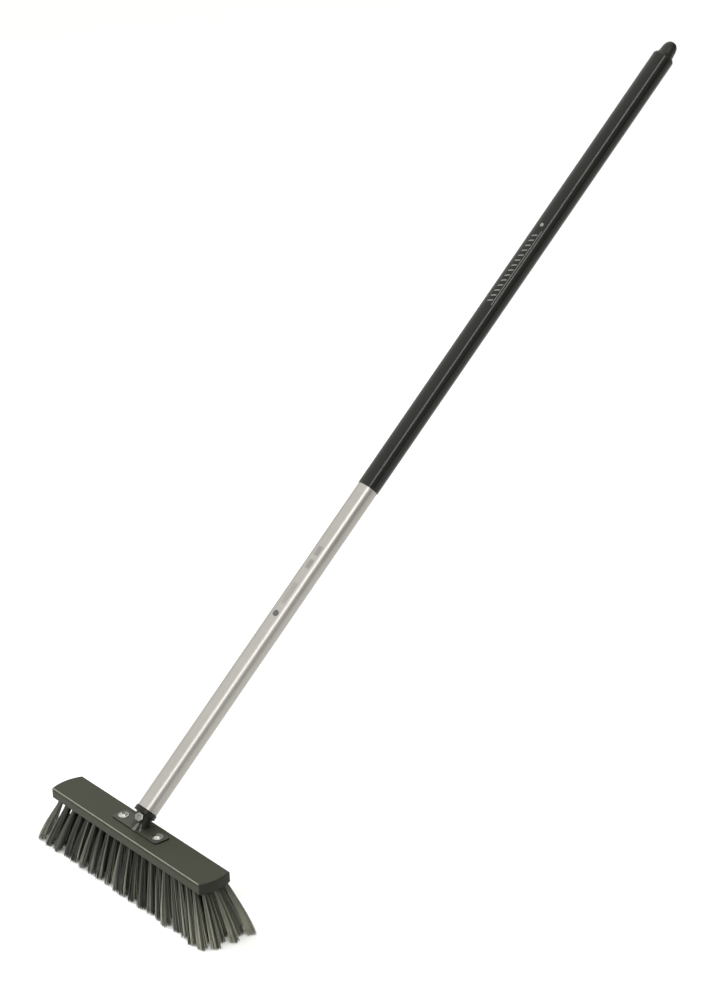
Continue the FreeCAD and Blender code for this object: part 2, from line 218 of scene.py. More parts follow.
def bristle_material():
    """Filament colour from each strand's own shade, which the mesh carries."""
    made, tree, shader = new_material("bristle_filament")
    shade = add(tree, "ShaderNodeAttribute", attribute_name="shade")
    stops = [
        (0.0, (0.007, 0.008, 0.005)),
        (0.35, (0.030, 0.032, 0.023)),
        (0.7, (0.130, 0.137, 0.108)),
        (1.0, (0.420, 0.415, 0.330)),
    ]
    tree.links.new(ramp(tree, shade.outputs["Fac"], stops), shader.inputs["Base Color"])
    streak = noise(tree, object_coordinates(tree, (1, 1, 0.15)), 2500.0, 2.0)
    tree.links.new(spread(tree, streak, 0.38, 0.55), shader.inputs["Roughness"])
    bump(tree, shader, streak, 0.4, 0.02 * MM)
    return made


BLOCK = surface("block_plastic", (0.029, 0.030, 0.0195), (0.039, 0.040, 0.027), (0.52, 0.66), grain=1500.0,
                specular=0.2)
# painted shade: the block's end faces are darker than its top and front
paint_shade_by_facing(BLOCK, "X", 0.36, 0.55, 0.9)
# painted highlight: a paler film along the block's front top edge
EDGE_HIGHLIGHT = surface("block_edge_highlight", (0.11, 0.113, 0.083), (0.20, 0.205, 0.16), (0.35, 0.5), patch=25.0)
PLATE = surface("plate_paint", (0.030, 0.031, 0.023), (0.040, 0.041, 0.031), (0.42, 0.52), grain=900.0,
                specular=0.35)
# painted shade: the plate's upright edge faces are darker than its top
paint_shade_by_facing(PLATE, "Z", 0.12, 0.9, 0.4)
# painted highlight: the neck's ribs are paler than the black casting they stand on
RIB = surface("rib_painted_highlight", (0.065, 0.065, 0.056), (0.12, 0.12, 0.105), (0.35, 0.5), grain=900.0)
CASTING = surface("casting_paint", (0.009, 0.009, 0.006), (0.014, 0.014, 0.010), (0.32, 0.42), grain=700.0,
                  grain_depth=0.05 * MM, specular=0.3)
ZINC = surface("zinc_plate", (0.36, 0.36, 0.33), (0.50, 0.50, 0.465), (0.2, 0.36), metallic=1.0, patch=60.0)
BOLT = surface("bolt_steel", (0.17, 0.17, 0.155), (0.25, 0.25, 0.23), (0.34, 0.46), metallic=1.0, patch=60.0)
BRASS = surface("turned_brass", (0.50, 0.34, 0.12), (0.66, 0.48, 0.20), (0.3, 0.45), metallic=1.0, patch=80.0)
WIRE = surface("drawn_wire", (0.45, 0.45, 0.44), (0.60, 0.60, 0.58), (0.3, 0.45), metallic=1.0, patch=80.0)
COLLAR = surface("collar_gloss", (0.007, 0.007, 0.004), (0.011, 0.011, 0.007), (0.25, 0.35), grain=1200.0,
                 specular=0.2)
TUBE = surface("tube_aluminium", (0.32, 0.308, 0.285), (0.38, 0.366, 0.342), (0.34, 0.42), metallic=1.0,
               patch=4.0, grain=1600.0, grain_depth=0.02 * MM, stretch=(1, 1, 0.02))
GRIP = surface("grip_vinyl", (0.0055, 0.0055, 0.004), (0.0085, 0.0085, 0.0062), (0.17, 0.22), grain=1400.0,
               specular=0.26)
CAP = surface("cap_moulding", (0.009, 0.009, 0.007), (0.015, 0.015, 0.012), (0.28, 0.4), grain=1100.0,
              specular=0.3)
PALE_INK = surface("pale_ink", (0.13, 0.13, 0.118), (0.20, 0.20, 0.182), (0.5, 0.65), grain=1200.0)
DARK_INK = surface("dark_ink", (0.05, 0.05, 0.048), (0.09, 0.09, 0.086), (0.5, 0.65), grain=1200.0)
BRISTLE = bristle_material()


def paint(node, made):
    """A CAD node keeps its mesh and takes this material in every slot."""
    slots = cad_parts[node].data.materials
    if len(slots) == 0:
        slots.append(made)
    for index in range(len(slots)):
        slots[index] = made


# ---------------------------------------------------------------- mesh helpers

ON_AXIS = 1e-7                # a radius this small is a point on the axis
SAME_POINT = 1e-9


def place(mesh, name, made, body, stands_for=(), matrix=None, sharp=35):
    """A mesh in its own frame becomes a piece that rides on a body."""
    mesh.materials.append(made)
    mesh.shade_smooth()
    mesh.set_sharp_from_angle(angle=math.radians(sharp))
    piece = bpy.data.objects.new(name, mesh)
    bpy.context.scene.collection.objects.link(piece)
    if matrix is not None:
        piece.matrix_world = matrix
    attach(piece, body)
    if stands_for:
        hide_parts(*stands_for)
    return piece


def mesh_from(bm, name):
    bmesh.ops.recalc_face_normals(bm, faces=bm.faces)
    mesh = bpy.data.meshes.new(name)
    bm.to_mesh(mesh)
    bm.free()
    return mesh


def soften(corners, radius, steps=4):
    """An outline with its inner corners rounded; the first and last points stay."""
    points = [Vector(corner) for corner in corners]
    made = [points[0]]
    for before, corner, after in zip(points, points[1:], points[2:]):
        back = before - corner
        ahead = after - corner
        reach = min(radius, 0.45 * back.length, 0.45 * ahead.length)
        start = corner + back.normalized() * reach
        end = corner + ahead.normalized() * reach
        for step in range(steps + 1):
            t = step / steps
            made.append(start * (1 - t) ** 2 + corner * (2 * t * (1 - t)) + end * t ** 2)
    made.append(points[-1])
    return made


def lathe(bm, outline, segments=96):
    """Turns an outline of (radius, height) points round local Z; a closed outline gives a ring."""
    rings = []
    for point in outline:
        radius, height = point[0], point[1]
        if radius < ON_AXIS:
            rings.append([bm.verts.new((0, 0, height))])
            continue
        ring = []
        for index in range(segments):
            angle = 2 * math.pi * index / segments
            ring.append(bm.verts.new((radius * math.cos(angle), radius * math.sin(angle), height)))
        rings.append(ring)
    closed = (Vector(outline[0]) - Vector(outline[-1])).length < SAME_POINT
    if closed:
        for vert in rings[-1]:
            bm.verts.remove(vert)
        rings[-1] = rings[0]
    for low, high in zip(rings, rings[1:]):
        for index in range(segments):
            following = (index + 1) % segments
            if len(low) == 1 and len(high) == 1:
                continue
            if len(low) == 1:
                bm.faces.new((low[0], high[following], high[index]))
            elif len(high) == 1:
                bm.faces.new((low[index], low[following], high[0]))
            else:
                bm.faces.new((low[index], low[following], high[following], high[index]))


def prism(bm, outline, low, high, taper=1.0, matrix=None):
    """A closed outline of (x, y) points raised from low to high; the top is scaled by taper."""
    matrix = matrix or Matrix.Identity(4)
    bottom = [bm.verts.new(matrix @ Vector((x, y, low))) for x, y in outline]
    top = [bm.verts.new(matrix @ Vector((x * taper, y * taper, high))) for x, y in outline]
    count = len(outline)
    for index in range(count):
        following = (index + 1) % count
        bm.faces.new((bottom[index], bottom[following], top[following], top[index]))
    bm.faces.new(bottom[::-1])
    bm.faces.new(top)


def skin(bm, rings):
    """Closes a row of vertex rings into one solid skin."""
    for low, high in zip(rings, rings[1:]):
        count = len(low)
        for index in range(count):
            following = (index + 1) % count
            bm.faces.new((low[index], low[following], high[following], high[index]))
    bm.faces.new(rings[0][::-1])
    bm.faces.new(rings[-1])


def hexagon(flats):
    corner = flats / math.sqrt(3)
    return [(corner * math.cos(math.pi * k / 3), corner * math.sin(math.pi * k / 3)) for k in range(6)]


def carve(base, tool, operation="DIFFERENCE"):
    """The mesh of base with tool cut out of it, or only what the two share."""
    host = bpy.data.objects.new("carve_host", base)
    cutter = bpy.data.objects.new("carve_tool", tool)
    for item in (host, cutter):
        bpy.context.scene.collection.objects.link(item)
    change = host.modifiers.new("carve", "BOOLEAN")
    change.operation = operation
    change.solver = "EXACT"
    change.object = cutter
    mesh = applied(host)
    bpy.data.objects.remove(cutter)
    bpy.data.meshes.remove(tool)
    return mesh


def applied(host):
    """The host's mesh with its modifiers applied; the host is removed."""
    bpy.context.view_layer.update()
    graph = bpy.context.evaluated_depsgraph_get()
    mesh = bpy.data.meshes.new_from_object(host.evaluated_get(graph))
    old = host.data
    bpy.data.objects.remove(host)
    bpy.data.meshes.remove(old)
    return mesh


# ---------------------------------------------------------------- bristles

ROWS = 6
SHORT_ROW_TUFTS = 20
LONG_ROW_TUFTS = 21
TUFT_PITCH = 14.8 * MM
ROW_PITCH = 7 * MM
ROOT_HEIGHT = BLOCK_TOP - BLOCK_THICK + 11 * MM
ROOT_CLEAR = 1.6 * MM
SPREAD_ALONG = 1.25
SPREAD_ACROSS = 1.9
ROOT_RADIUS = 2.2 * MM
TIP_RADIUS = 6.6 * MM
WISPS = 15                    # a tuft is a spiral of wisps, and a wisp a spiral of strands
WISP_STRANDS = 5
WISP_SHARE = 0.2              # a wisp's radius over its tuft's
WISP_INSET = 0.6              # how far outer wisps move in, in wisp radii
FILAMENT_RADIUS = 0.33 * MM
FILAMENT_SIDES = 3
FILAMENT_STEPS = 6
GOLDEN_ANGLE = math.pi * (3 - math.sqrt(5))
END_PAINTED_LIGHT = 0.58           # painted light: how much paler the strands get towards the +X end, which faces the lamp
END_POWER = 4                 # how late along the block that starts
MIDDLE_SWELL = 0.4            # how far a tuft's outer strands stand out half-way down, in mm
SWELL_SCATTER = 0.6
TIP_SCATTER_ALONG = 1.6       # how far a tuft's tip strays from its place, in mm
TIP_SCATTER_ACROSS = 1.2
STRAND_SCATTER = 0.3          # the same for one strand
BOW = (1.0, 3.0)              # how far a tuft bows outwards, in mm
FLARE = (0.9, 1.08)           # a tuft's spread over TIP_RADIUS
WISP_REACH = (0.9, 1.15)      # a wisp's spread over its tuft's
STRAY_CHANCE = 0.04           # strands that stand out further and end higher
STRAY_REACH = (1.15, 1.5)
STRAY_RISE = 1.2
TRIM = 0.45                   # height of the cut tips over the floor, in mm
TRIM_SCATTER = 1.1
TRIM_LIMIT = 4.5
TUFT_SHADE = (0.36, 0.50)     # shades run from 0, darkest, to 1, palest
WISP_SHADE_SCATTER = 0.34
STRAND_SHADE_SCATTER = 0.08
BRIGHT_CHANCE = 0.06
BRIGHT_LIFT = 0.4
LEAST_SHADE = 0.03
MOST_SHADE = 0.98
ROOT_TONE = 0.62              # a strand's shade at its root over that at its tip
SIDE_HINT = Vector((0.31, 0.95, 0))

rng = random.Random(11)


def row_roots(row):
    count = SHORT_ROW_TUFTS if row % 2 else LONG_ROW_TUFTS
    y = (row - (ROWS + 1) / 2) * ROW_PITCH
    return [((index - (count - 1) / 2) * TUFT_PITCH, y) for index in range(count)]


def filament(path, radius, shade, vertices, faces, shades):
    """A thin tube along path, closed at both ends and paler at its cut tip."""
    first = len(vertices)
    side = (path[-1] - path[0]).cross(SIDE_HINT).normalized()
    for index, point in enumerate(path):
        ahead = path[min(index + 1, len(path) - 1)] - path[max(index - 1, 0)]
        across = ahead.cross(side).normalized()
        along = across.cross(ahead).normalized()
        share = index / (len(path) - 1)
        tone = shade * (ROOT_TONE + (1 - ROOT_TONE) * share)
        for corner in range(FILAMENT_SIDES):
            angle = 2 * math.pi * corner / FILAMENT_SIDES
            vertices.append(point + (along * math.cos(angle) + across * math.sin(angle)) * radius)
            shades.append(tone)
    for ring in range(len(path) - 1):
        low = first + ring * FILAMENT_SIDES
        for corner in range(FILAMENT_SIDES):
            following = (corner + 1) % FILAMENT_SIDES
            faces.append((low + corner, low + following, low + FILAMENT_SIDES + following,
                          low + FILAMENT_SIDES + corner))
    last = first + (len(path) - 1) * FILAMENT_SIDES
    faces.append(tuple(first + corner for corner in reversed(range(FILAMENT_SIDES))))
    faces.append(tuple(last + corner for corner in range(FILAMENT_SIDES)))


def spiral(index, count):
    """Radius share and angle of one of count places spread evenly over a disc."""
    return math.sqrt((index + 0.5) / count), index * GOLDEN_ANGLE


def tuft(x, y, vertices, faces, shades):
    """A bundle that fans out of its hole, bowed a little, with uneven cut tips."""
    root = Vector((x, y, ROOT_HEIGHT))
    lean = Vector((rng.gauss(0, TIP_SCATTER_ALONG), rng.gauss(0, TIP_SCATTER_ACROSS), 0)) * MM
    tip = Vector((x * SPREAD_ALONG, y * SPREAD_ACROSS, 0)) + lean
    axis = (tip - root).normalized()
    right = Vector((1, 0, 0)).cross(axis).normalized()
    front = axis.cross(right)
    outward = Vector((x / BLOCK_HALF_LENGTH, y / (ROWS / 2 * ROW_PITCH), 0))
    bow = outward * rng.uniform(*BOW) * MM
    flare = TIP_RADIUS * rng.uniform(*FLARE)
    # paler towards the +X end: painted light on the end that faces the lamp
    base_shade = rng.uniform(*TUFT_SHADE) + END_PAINTED_LIGHT * max(0, x / BLOCK_HALF_LENGTH) ** END_POWER
    turn = rng.uniform(0, 2 * math.pi)
    for wisp in range(WISPS):
        share, angle = spiral(wisp, WISPS)
        spoke = right * math.cos(angle + turn) + front * math.sin(angle + turn)
        centre = spoke * share * (1 - WISP_INSET * WISP_SHARE)
        wisp_shade = base_shade + rng.gauss(0, WISP_SHADE_SCATTER)
        wisp_reach = flare * rng.uniform(*WISP_REACH)
        wisp_sway = bow + centre * rng.gauss(MIDDLE_SWELL, SWELL_SCATTER) * MM
        for strand in range(WISP_STRANDS):
            share, angle = spiral(strand, WISP_STRANDS)
            offset = centre + (right * math.cos(angle) + front * math.sin(angle)) * share * WISP_SHARE
            stray = rng.random() < STRAY_CHANCE
            reach = wisp_reach * (rng.uniform(*STRAY_REACH) if stray else 1)
            start = root + axis * ROOT_CLEAR + offset * ROOT_RADIUS
            scatter = Vector((rng.gauss(0, STRAND_SCATTER), rng.gauss(0, STRAND_SCATTER), 0)) * MM
            end = tip + offset * reach + scatter
            rise = TRIM + abs(rng.gauss(0, TRIM_SCATTER)) + (STRAY_RISE if stray else 0)
            end.z = min(TRIM_LIMIT, rise) * MM
            path = []
            for step in range(FILAMENT_STEPS + 1):
                t = step / FILAMENT_STEPS
                path.append(start.lerp(end, t) + wisp_sway * (4 * t * (1 - t)) * t)
            shade = wisp_shade + rng.gauss(0, STRAND_SHADE_SCATTER)
            shade += BRIGHT_LIFT if rng.random() < BRIGHT_CHANCE else 0
            shade = min(max(shade, LEAST_SHADE), MOST_SHADE)
            filament(path, FILAMENT_RADIUS, shade, vertices, faces, shades)


for row in range(1, ROWS + 1):
    vertices, faces, shades = [], [], []
    for x, y in row_roots(row):
        tuft(x, y, vertices, faces, shades)
    mesh = bpy.data.meshes.new("bristles_row_%d" % row)
    mesh.from_pydata(vertices, [], faces)
    shade = mesh.attributes.new("shade", "FLOAT", "POINT")
    shade.data.foreach_set("value", shades)
    place(mesh, mesh.name, BRISTLE, "head", ["tufts_row_%d" % row], sharp=100)
    paint("anchors_row_%d" % row, WIRE)


# ---------------------------------------------------------------- block and plate

CREST_RISE = 0.12 * MM
CREST_INSET = 1 * MM
CREST_STEPS = 6
CREST_START = 20              # degrees from upright, round the block's front top edge
CREST_SWEEP = 50
TOP_ROUND = 1.5 * MM

# a paler film along the block's front top edge: a painted highlight
bm = bmesh.new()
crest = []
for step in range(CREST_STEPS + 1):
    turn = math.radians(CREST_START + CREST_SWEEP * step / CREST_STEPS)
    crest.append((math.sin(turn), math.cos(turn)))
rings = []
for x in (-BLOCK_HALF_LENGTH + CREST_INSET, BLOCK_HALF_LENGTH - CREST_INSET):
    ring = []
    for reach in (TOP_ROUND + CREST_RISE, TOP_ROUND - CREST_RISE):
        arc = crest if reach > TOP_ROUND else crest[::-1]
        for back, up in arc:
            y = -BLOCK_HALF_WIDTH + TOP_ROUND - reach * back
            ring.append(bm.verts.new((x, y, BLOCK_TOP - TOP_ROUND + reach * up)))
    rings.append(ring)
skin(bm, rings)
place(mesh_from(bm, "block_edge_highlight"), "block_edge_highlight", EDGE_HIGHLIGHT, "head", sharp=40)
paint("brush_block", BLOCK)
paint("holder_plate", PLATE)
paint("clamp_nut", CASTING)
paint("clamp_pad", BRASS)


# ---------------------------------------------------------------- bracket neck

FOOT_RADIUS = 11.5 * MM
FOOT_OFFSET = 3.5 * MM
SEAT_RADIUS = 12 * MM
SEAT_OFFSET = 1.5 * MM
PLAY = 0.06 * MM
NUT_END = 13.5 * MM
NECK_STEPS = 32
NECK_SEGMENTS = 96
FILLET_SHARE = 0.14           # share of the neck's height that flares into the plate
FILLET_SWELL = 0.045
WAIST = 0.03                  # how far the neck draws in half-way up
BROAD_RIB = 3.4 * MM          # half widths of the two ribs at the plate
NARROW_RIB = 1.3 * MM
RIB_RISE = 1.2 * MM
RIB_ROOT = 1.5 * MM
RIB_TOP = 0.42                # share of the neck's height that the ribs climb
RIB_TAPER = 0.5               # a rib's width and rise at its top over those at the plate
RIB_CREST = 0.8               # a rib's width at its crest over that at its root
RIB_STEPS = 8
BORE_CLEAR = 0.5 * MM
BORE_START = 1 * MM


def neck_swell(t):
    fillet = max(0.0, 1 - t / FILLET_SHARE)
    return 1 + FILLET_SWELL * fillet ** 2 - WAIST * math.sin(math.pi * t)


def neck_point(angle, t, out=0.0):
    """A point of the neck's side at height share t, moved outwards by out."""
    foot_reach = FOOT_RADIUS * neck_swell(t) + out
    seat_reach = SEAT_RADIUS * neck_swell(t) + out
    turn = Vector((math.cos(angle), math.sin(angle), 0))
    foot = Vector((0, FOOT_OFFSET, PLATE_TOP)) + turn * foot_reach
    seat = HANDLE @ (Vector((0, SEAT_OFFSET, NECK_TOP)) + turn * seat_reach)
    return foot.lerp(seat, t)


def neck_blank():
    bm = bmesh.new()
    rings = []
    for step in range(NECK_STEPS + 1):
        t = step / NECK_STEPS
        turns = [2 * math.pi * index / NECK_SEGMENTS for index in range(NECK_SEGMENTS)]
        rings.append([bm.verts.new(neck_point(turn, t)) for turn in turns])
    skin(bm, rings)
    return mesh_from(bm, "neck_blank")


def neck_rib(bm, top_angle, foot_angle, top_share, half_width):
    """A low rib down the neck's side, from under the clamp screw to the plate."""
    rings = []
    for step in range(RIB_STEPS + 1):
        share = step / RIB_STEPS
        angle = foot_angle + (top_angle - foot_angle) * share
        t = top_share * share
        half = half_width * (RIB_TAPER + (1 - RIB_TAPER) * (1 - share)) / FOOT_RADIUS
        rise = RIB_RISE * (1 - (1 - RIB_TAPER) * share)
        crest_half = half * RIB_CREST
        corners = ((-half, -RIB_ROOT), (half, -RIB_ROOT), (crest_half, rise), (-crest_half, rise))
        rings.append([bm.verts.new(neck_point(angle + turn, t, out)) for turn, out in corners])
    skin(bm, rings)


CLAMP_SIDE = CLAMP_AZIMUTH - math.radians(90)
casting = neck_blank()
ribs = bmesh.new()
for start_swing, foot_swing, half_width in ((-10, -28, BROAD_RIB), (11, 15, NARROW_RIB)):
    top_angle = CLAMP_SIDE + math.radians(start_swing)
    foot_angle = CLAMP_SIDE + math.radians(foot_swing)
    neck_rib(ribs, top_angle, foot_angle, RIB_TOP, half_width)
# the ribs carry a painted highlight
place(mesh_from(ribs, "neck_ribs"), "neck_ribs", RIB, "head", sharp=30)


def round_cutter(radius, low, high, matrix):
    bm = bmesh.new()
    turns = [k * math.pi / 24 for k in range(48)]
    outline = [(radius * math.cos(turn), radius * math.sin(turn)) for turn in turns]
    prism(bm, outline, low, high, 1.0, matrix)
    return mesh_from(bm, "round_cutter")


bore_bottom = NECK_TOP - SPIGOT_LENGTH - BORE_CLEAR
spigot_bore = round_cutter(SPIGOT_RADIUS + PLAY, bore_bottom, NECK_TOP + BORE_START, HANDLE)
casting = carve(casting, spigot_bore)
screw_bore = round_cutter(CLAMP_RADIUS + PLAY, BORE_START, NUT_END, CLAMP)
casting = carve(casting, screw_bore)
place(casting, "neck_casting", CASTING, "head", ["bracket_neck"])


# ---------------------------------------------------------------- plate screws

SCREW_DOME = [                # radius and height in mm: washer, then the domed head on it
    (2.1, 0), (7.2, 0), (7.2, 0.7), (6.7, 1.1), (5.0, 1.2),
    (4.4, 2.4), (2.9, 3.05), (1.4, 3.17), (0, 3.2),
]
SCREW_DOME_ROUND = 0.7 * MM
SCREW_TIP = 2.4 * MM          # of the shank beyond SCREW_REACH
RECESS_ARM = 2.2 * MM
RECESS_WEB = 0.65 * MM        # half the width of an arm
RECESS_FLOOR = 1.3 * MM
RECESS_TOP = 3.8 * MM
RECESS_TAPER = 1.4


def cross_outline(arm, web):
    corners = [(arm, -web), (arm, web), (web, web)]
    outline = []
    for _ in range(4):
        outline += corners
        corners = [(-y, x) for x, y in corners]
    return outline


def plate_screw(name, sign, turn):
    where = Matrix.Translation((sign * SCREW_SPACING / 2, SCREW_OFFSET, PLATE_TOP))
    matrix = where @ Matrix.Rotation(turn, 4, "Z")
    bm = bmesh.new()
    tip = -(SCREW_REACH + SCREW_TIP)
    shank = [(0, tip), (SCREW_RADIUS, tip + SCREW_RADIUS)]
    dome = [(radius * MM, height * MM) for radius, height in SCREW_DOME]
    lathe(bm, shank + soften(dome, SCREW_DOME_ROUND), 64)
    blank = mesh_from(bm, name)
    cutter = bmesh.new()
    prism(cutter, cross_outline(RECESS_ARM, RECESS_WEB), RECESS_FLOOR, RECESS_TOP, RECESS_TAPER)
    carved = carve(blank, mesh_from(cutter, "cross_cutter"))
    carved.name = name
    return carved, matrix


for name, sign, turn in (("plate_screw_left", -1, 0.35), ("plate_screw_right", 1, 0.9)):
    mesh, matrix = plate_screw(name, sign, turn)
    place(mesh, name, ZINC, "head", ["plate_screws"], matrix, 30)


# ---------------------------------------------------------------- clamp screw

BOLT_CHAMFER = 1 * MM
BOLT_BEARING = 0.56           # radii that trim the hexagon's corners, over its flats
BOLT_CORNER = 0.64
BOLT_FACE = 0.46
SOCKET_FLATS = 5 * MM
SOCKET_DEPTH = 2 * MM
THREAD_PITCH = 1 * MM
THREAD_DEPTH = 0.35 * MM
THREAD_STEPS = 48
THREAD_FLANK = 0.45           # half a ridge's width, in pitches
THREAD_ROOT = 0.9             # a ridge starts inside the core
SHANK_OVERLAP = 0.2 * MM


def bolt_head():
    """Hex head with chamfered corners and a hexagon socket."""
    bm = bmesh.new()
    face = CLAMP_HEAD_START + CLAMP_HEAD_THICK
    prism(bm, hexagon(HEX_FLATS), CLAMP_HEAD_START, face)
    head = mesh_from(bm, "bolt_head")
    bm = bmesh.new()
    cone = [
        (0, CLAMP_HEAD_START - BOLT_CHAMFER),
        (HEX_FLATS * BOLT_BEARING, CLAMP_HEAD_START - BOLT_CHAMFER),
        (HEX_FLATS * BOLT_CORNER, CLAMP_HEAD_START + BOLT_CHAMFER),
        (HEX_FLATS * BOLT_CORNER, face - BOLT_CHAMFER),
        (HEX_FLATS * BOLT_FACE, face),
        (0, face),
    ]
    lathe(bm, cone)
    head = carve(head, mesh_from(bm, "bolt_cone"), "INTERSECT")
    bm = bmesh.new()
    prism(bm, hexagon(SOCKET_FLATS), face - SOCKET_DEPTH, face + BOLT_CHAMFER)
    return carve(head, mesh_from(bm, "bolt_socket"))


bm = bmesh.new()
bm.from_mesh(bolt_head())
turns = (CLAMP_HEAD_START - CLAMP_START) / THREAD_PITCH
rings = []
count = int(turns * THREAD_STEPS)
core = CLAMP_RADIUS - THREAD_DEPTH
for index in range(count + 1):
    angle = 2 * math.pi * index / THREAD_STEPS
    climb = (CLAMP_HEAD_START - CLAMP_START - THREAD_PITCH) * index / count
    height = CLAMP_START + 0.5 * THREAD_PITCH + climb
    ring = []
    root = core * THREAD_ROOT
    for radius, drop in ((root, -THREAD_FLANK), (CLAMP_RADIUS, 0.0), (root, THREAD_FLANK)):
        across = radius * math.cos(angle)
        up = radius * math.sin(angle)
        ring.append(bm.verts.new((across, up, height + drop * THREAD_PITCH)))
    rings.append(ring)
for low, high in zip(rings, rings[1:]):
    for corner in range(3):
        following = (corner + 1) % 3
        bm.faces.new((low[corner], low[following], high[following], high[corner]))
bm.faces.new(rings[0])
bm.faces.new(rings[-1][::-1])
shank_end = CLAMP_HEAD_START + SHANK_OVERLAP
lathe(bm, [(0, CLAMP_START), (core, CLAMP_START), (core, shank_end), (0, shank_end)], 48)
place(mesh_from(bm, "clamp_bolt"), "clamp_bolt", BOLT, "clamp", ["clamp_screw"], CLAMP, 30)


# ---------------------------------------------------------------- ferrule, tube, grip and cap

LEAD = 1.5 * MM               # chamfer on what goes into a bore
COLLAR_FOOT_EDGE = 0.6 * MM
COLLAR_TOP_EDGE = 0.8 * MM
FERRULE_ROUND = 0.5 * MM
TUBE_EDGE = 0.4 * MM
GRIP_EDGE_ACROSS = 0.25 * MM
GRIP_EDGE_ALONG = 0.35 * MM
CAP_ROUND = 2.2 * MM
CAP_LIP = 1.2 * MM
CAP_SHOULDER_SHARE = 0.9      # of the grip's radius
CAP_SHOULDER = 4 * MM
CAP_PROFILE = [               # share of the nose's radius, and height in mm
    (1.08, 5.6), (1, 13), (0.95, 18), (0.78, 22.6), (0.45, 26),
]

bm = bmesh.new()
plug_end = COLLAR_LENGTH + PLUG_LENGTH
outline = [
    (0, -SPIGOT_LENGTH),
    (SPIGOT_RADIUS - LEAD, -SPIGOT_LENGTH),
    (SPIGOT_RADIUS, -SPIGOT_LENGTH + LEAD),
    (SPIGOT_RADIUS, 0),
    (COLLAR_RADIUS - COLLAR_FOOT_EDGE, 0),
    (COLLAR_RADIUS, COLLAR_FOOT_EDGE),
    (COLLAR_RADIUS, COLLAR_LENGTH - COLLAR_TOP_EDGE),
    (COLLAR_RADIUS - COLLAR_TOP_EDGE, COLLAR_LENGTH),
    (PLUG_RADIUS, COLLAR_LENGTH),
    (PLUG_RADIUS, plug_end - LEAD),
    (PLUG_RADIUS - LEAD, plug_end),
    (0, plug_end),
]
lathe(bm, soften(outline, FERRULE_ROUND, 3))
place(mesh_from(bm, "ferrule_turned"), "ferrule_turned", COLLAR, "handle", ["ferrule"],
      HANDLE @ Matrix.Translation((0, 0, NECK_TOP)))

bm = bmesh.new()
inner = TUBE_RADIUS - TUBE_WALL
outline = [
    (inner, TUBE_EDGE),
    (inner + TUBE_EDGE, 0),
    (TUBE_RADIUS - TUBE_EDGE, 0),
    (TUBE_RADIUS, TUBE_EDGE),
    (TUBE_RADIUS, TUBE_LENGTH),
    (inner, TUBE_LENGTH),
    (inner, TUBE_EDGE),
]
lathe(bm, outline, 128)
place(mesh_from(bm, "handle_tube_drawn"), "handle_tube_drawn", TUBE, "handle", ["handle_tube"],
      HANDLE @ Matrix.Translation((0, 0, TUBE_START)))

bm = bmesh.new()
outline = [
    (TUBE_RADIUS, 0),
    (GRIP_RADIUS - GRIP_EDGE_ACROSS, 0),
    (GRIP_RADIUS, GRIP_EDGE_ALONG),
    (GRIP_RADIUS, GRIP_LENGTH),
    (TUBE_RADIUS, GRIP_LENGTH),
    (TUBE_RADIUS, 0),
]
lathe(bm, outline, 128)
place(mesh_from(bm, "grip_sleeve_vinyl"), "grip_sleeve_vinyl", GRIP, "handle", ["grip_sleeve"],
      HANDLE @ Matrix.Translation((0, 0, GRIP_START)))

bm = bmesh.new()
outline = [
    (0, -CAP_PLUG_LENGTH),
    (PLUG_RADIUS, -CAP_PLUG_LENGTH),
    (PLUG_RADIUS, 0),
    (GRIP_RADIUS, 0),
    (GRIP_RADIUS, CAP_LIP),
    (GRIP_RADIUS * CAP_SHOULDER_SHARE, CAP_SHOULDER),
]
outline += [(CAP_RADIUS * share, height * MM) for share, height in CAP_PROFILE]
outline.append((0, CAP_RISE))
lathe(bm, soften(outline, CAP_ROUND, 5))
place(mesh_from(bm, "end_cap_moulded"), "end_cap_moulded", CAP, "handle", ["end_cap"],
      HANDLE @ Matrix.Translation((0, 0, TUBE_END)))


# ---------------------------------------------------------------- printed marks

PRINT_SIDE = math.radians(-74)        # round the handle, from its local +X
PRINT_SINK = 0.04 * MM
PRINT_RISE = 0.05 * MM


def printed(bm, radius, columns):
    """A thin film on the handle from columns of (arc, low, high) that run round it."""
    rings = []
    for arc, low, high in columns:
        turn = PRINT_SIDE + arc / radius
        ring = []
        for reach, height in ((-PRINT_SINK, low), (PRINT_RISE, low), (PRINT_RISE, high), (-PRINT_SINK, high)):
            place_at = ((radius + reach) * math.cos(turn), (radius + reach) * math.sin(turn), height)
            ring.append(bm.verts.new(HANDLE @ Vector(place_at)))
        rings.append(ring)
    skin(bm, rings)


def bar(bm, radius, left, right, low, high, slant=0.0, steps=6):
    columns = []
    for step in range(steps + 1):
        share = step / steps
        shift = slant * (share - 0.5)
        columns.append((left + (right - left) * share, low + shift, high + shift))
    printed(bm, radius, columns)


def dot(bm, radius, size, height, steps=12):
    columns = []
    for step in range(steps + 1):
        arc = size * 0.97 * (2 * step / steps - 1)
        half = math.sqrt(size ** 2 - arc ** 2)
        columns.append((arc, height - half, height + half))
    printed(bm, radius, columns)


